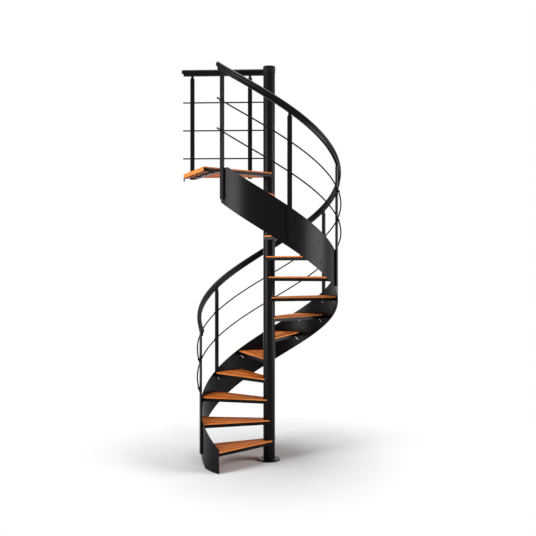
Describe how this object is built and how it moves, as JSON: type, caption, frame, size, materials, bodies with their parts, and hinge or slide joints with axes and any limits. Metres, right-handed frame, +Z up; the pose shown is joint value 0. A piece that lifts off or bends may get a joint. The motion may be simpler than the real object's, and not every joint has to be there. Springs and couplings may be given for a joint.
{
  "type": "spiral staircase",
  "caption": "Spiral staircase: a centre column, wooden treads in steel trays, a helical outer stringer with a rail guard, and a wooden landing with its own straight guard.",
  "frame": {"origin": "centre of the column on the underside of its base flange, on the floor", "axes": "+Z up the column; +Y away from the side the picture shows; the landing lies towards -X and slightly -Y"},
  "size_m": [1.642, 1.4731, 4.015],
  "materials": {
    "black_steel": "satin black powder coat with a fine texture",
    "black_plastic": "satin black moulded end cap",
    "oiled_wood": "warm red-brown oiled hardwood, grain along the tread"
  },
  "bodies": {
    "root": {"base_flange": "black_steel", "column": "black_steel", "upper_column": "black_steel", "stringer_1": "black_steel", "stringer_2": "black_steel", "stringer_3": "black_steel", "stringer_4": "black_steel", "stringer_5": "black_steel", "stringer_6": "black_steel", "stringer_7": "black_steel", "tread_frame_01": "black_steel", "tread_frame_02": "black_steel", "tread_frame_03": "black_steel", "tread_frame_04": "black_steel", "tread_frame_05": "black_steel", "tread_frame_06": "black_steel", "tread_frame_07": "black_steel", "tread_frame_08": "black_steel", "tread_frame_09": "black_steel", "tread_frame_10": "black_steel", "tread_frame_11": "black_steel", "tread_frame_12": "black_steel", "tread_frame_13": "black_steel", "landing_frame": "black_steel", "landing_hooks": "black_steel", "stair_posts": "black_steel", "stair_handrail": "black_steel", "lower_stair_rod": "black_steel", "upper_stair_rod": "black_steel", "landing_posts": "black_steel", "landing_handrail": "black_steel", "landing_rods": "black_steel", "column_cap": "black_plastic", "rail_caps": "black_plastic", "rod_caps": "black_plastic", "tread_board_01": "oiled_wood", "tread_board_02": "oiled_wood", "tread_board_03": "oiled_wood", "tread_board_04": "oiled_wood", "tread_board_05": "oiled_wood", "tread_board_06": "oiled_wood", "tread_board_07": "oiled_wood", "tread_board_08": "oiled_wood", "tread_board_09": "oiled_wood", "tread_board_10": "oiled_wood", "tread_board_11": "oiled_wood", "tread_board_12": "oiled_wood", "tread_board_13": "oiled_wood", "landing_board": "oiled_wood"}
  },
  "joints": []
}
